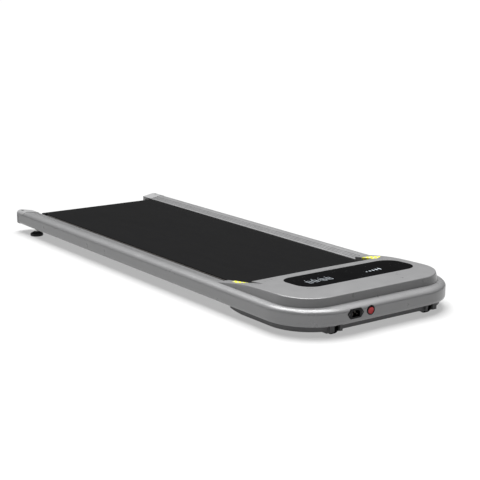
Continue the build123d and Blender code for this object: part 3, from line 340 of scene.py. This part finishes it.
SILVER = (0.23, 0.23, 0.233)
finishes = {
    "rail_silver": metallic_paint("rail_paint", SILVER),
    "casing_grey": metallic_paint("casing_paint", SILVER),
    "hood_grey": metallic_paint("hood_paint", shade(SILVER, 1.02)),
    "cap_grey": moulded("cap_plastic", shade(SILVER, 1.1), 0.48),
    "window_black": gloss("window_acrylic", (0.0025, 0.0025, 0.003), 0.1),
    "tray_dark": moulded("tray_plastic", (0.07, 0.07, 0.072), 0.6, grain=1400.0, depth=0.06, vary=0.1),
    "belt_black": belt_fabric("belt_rubber", (0.0062, 0.0062, 0.0065)),
    "deck_wood": moulded("deck_film", (0.03, 0.024, 0.02), 0.5, grain=700.0, depth=0.04, vary=0.2),
    "frame_black": moulded("frame_powder", (0.02, 0.02, 0.021), 0.55, grain=1500.0, depth=0.05, vary=0.1,
                           metallic=0.2),
    "steel_plain": drawn_metal("turned_steel", (0.42, 0.42, 0.43), 0.3, "X"),
    "steel_zinc": drawn_metal("zinc_plate", (0.5, 0.5, 0.49), 0.35, "Z"),
    "bearing_steel": drawn_metal("ground_steel", (0.6, 0.6, 0.6), 0.15, "X"),
    "tyre_black": moulded("tyre_rubber", (0.002, 0.002, 0.002), 0.8, grain=1200.0, depth=0.06, vary=0.15,
                          specular=0.03),
    "hub_dark": moulded("hub_plastic", (0.003, 0.003, 0.003), 0.7, grain=1500.0, depth=0.04, vary=0.1,
                        specular=0.05),
    "rubber_black": moulded("rubber", (0.012, 0.012, 0.012), 0.68, grain=1300.0, depth=0.06, vary=0.15),
    "motor_black": moulded("motor_enamel", (0.015, 0.015, 0.016), 0.3, grain=300.0, depth=0.03, vary=0.1,
                           metallic=0.3),
    "pulley_alloy": drawn_metal("pulley_metal", (0.45, 0.45, 0.46), 0.32, "X"),
    "fan_grey": moulded("fan_plastic", (0.03, 0.03, 0.03), 0.5),
    "board_green": board_film("board_lacquer", (0.01, 0.07, 0.025), (0.05, 0.2, 0.08)),
    "sink_alloy": drawn_metal("sink_metal", (0.5, 0.5, 0.5), 0.4, "Y"),
    "capacitor_blue": gloss("capacitor_sleeve", (0.01, 0.02, 0.07), 0.3, coat=0.3),
    "digit_dark": gloss("digit_glass", (0.01, 0.01, 0.01), 0.25, coat=0.2),
    "wire_red": moulded("wire_cover", (0.2, 0.01, 0.01), 0.45),
    "inlet_black": moulded("inlet_plastic", (0.005, 0.005, 0.0055), 0.42, grain=1800.0, depth=0.03, vary=0.1,
                           specular=0.15),
    # painted shade: the inlet pins' metal is made dark, for the shade deep in the socket where they sit
    "pin_brass": drawn_metal("pin_metal_painted_shade", (0.1, 0.095, 0.085), 0.4, "Y"),
    "switch_red": gloss("switch_red", (0.4, 0.006, 0.01), 0.4, coat=0.05),
    "marker_yellow": marker_film("marker_film", (0.83, 0.82, 0.06), (0.55, 0.53, 0.4)),
}

for part in frame["record"]["subparts"]:
    piece = nodes[part["node"]]
    piece.data.materials.clear()
    piece.data.materials.append(finishes[part["material_slot"]])

# ---------------------------------------------------------------------------
# Pieces laid on the display window
# ---------------------------------------------------------------------------


def surface_of(node):
    """A search tree over a CAD node's faces."""
    mesh = nodes[node].data
    corners = [vertex.co.copy() for vertex in mesh.vertices]
    return BVHTree.FromPolygons(corners, [tuple(face.vertices) for face in mesh.polygons])


def drop_on(surface, x, y, lift):
    """The point of a surface straight under (x, y), raised by lift."""
    hit = surface.ray_cast(Vector((x, y, 1.0)), Vector((0, 0, -1)))[0]
    return (x, y, hit.z + lift)


def printed(name, outlines, surface, lift, finish):
    """Thin flat shapes laid on a surface, lift above it at the top; each outline is a list of (x, y)."""
    verts, faces = [], []
    for outline in outlines:
        start = len(verts)
        count = len(outline)
        for raised in (lift, lift * 0.2):
            verts.extend(drop_on(surface, x, y, raised) for x, y in outline)
        faces.append(tuple(range(start, start + count)))
        faces.append(tuple(reversed(range(start + count, start + 2 * count))))
        for i in range(count):
            j = (i + 1) % count
            faces.append((start + j, start + i, start + count + i, start + count + j))
    mesh = bpy.data.meshes.new(name)
    mesh.from_pydata(verts, [], faces)
    mesh.materials.append(finish)
    piece = bpy.data.objects.new(name, mesh)
    bpy.context.scene.collection.objects.link(piece)
    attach(piece, "frame")


def bar(cx, cy, length, width, upright):
    """A pointed LED segment."""
    half, tip = length / 2, width / 2
    shoulder = half - tip
    points = [(-half, 0), (-shoulder, -tip), (shoulder, -tip), (half, 0), (shoulder, tip), (-shoulder, tip)]
    if upright:
        points = [(-across, along) for along, across in points]
    return [(cx + x, cy + y) for x, y in points]


def digit(cx, cy, width, height, thick):
    """All seven segments of a figure eight."""
    span_x = width - thick
    span_y = (height - thick) / 2
    segments = []
    for row in (-1, 0, 1):
        segments.append(bar(cx, cy + row * span_y, span_x, thick, False))
    for side in (-1, 1):
        for row in (-0.5, 0.5):
            segments.append(bar(cx + side * span_x / 2, cy + row * span_y, span_y, thick, True))
    return segments


def dot(cx, cy, radius, steps=14):
    """A round dot."""
    turn = 2 * math.pi / steps
    return [(cx + radius * math.cos(turn * i), cy + radius * math.sin(turn * i)) for i in range(steps)]


white_glow = lamp_glow("white_led", (0.5, 0.54, 0.58), 0.22)
window_surface = surface_of("display_window")
print_lift = 0.1 * MM

digit_low, digit_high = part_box("digit_module")
digits_x = (digit_low.x + digit_high.x) / 2
digits_y = (digit_low.y + digit_high.y) / 2
digit_width = 12 * MM
digit_height = 21 * MM
digit_pitch = 18 * MM
segment = 1.2 * MM
colon_rise = 4.5 * MM
colon_radius = 1.6 * MM
lamp_rise = 19 * MM
lamp_radius = 1.4 * MM

# four digits with a colon between the pairs, and four round lamps above them; places are in digit pitches
readout = []
for place in (-1.75, -0.7, 0.7, 1.75):
    readout += digit(digits_x + place * digit_pitch, digits_y, digit_width, digit_height, segment)
for row in (-1, 1):
    readout.append(dot(digits_x, digits_y + row * colon_rise, colon_radius))
for place in (-1.75, -0.6, 0.6, 1.75):
    readout.append(dot(digits_x + place * digit_pitch, digits_y + lamp_rise, lamp_radius))
printed("led_readout", readout, window_surface, print_lift, white_glow)

bars_x = digits_x + 150 * MM
bars_y = digits_y - 9 * MM
bar_count = 5
bar_pitch = 12 * MM
bar_width = 4.4 * MM
bar_shortest = 6 * MM
bar_growth = 2.6 * MM

# a row of upright bars that grow with the speed, beside the digits
speed_bars = []
for step in range(bar_count):
    tall = bar_shortest + bar_growth * step
    speed_bars.append(bar(bars_x + step * bar_pitch, bars_y + tall / 2, tall, bar_width, True))
printed("speed_bars", speed_bars, window_surface, print_lift, white_glow)
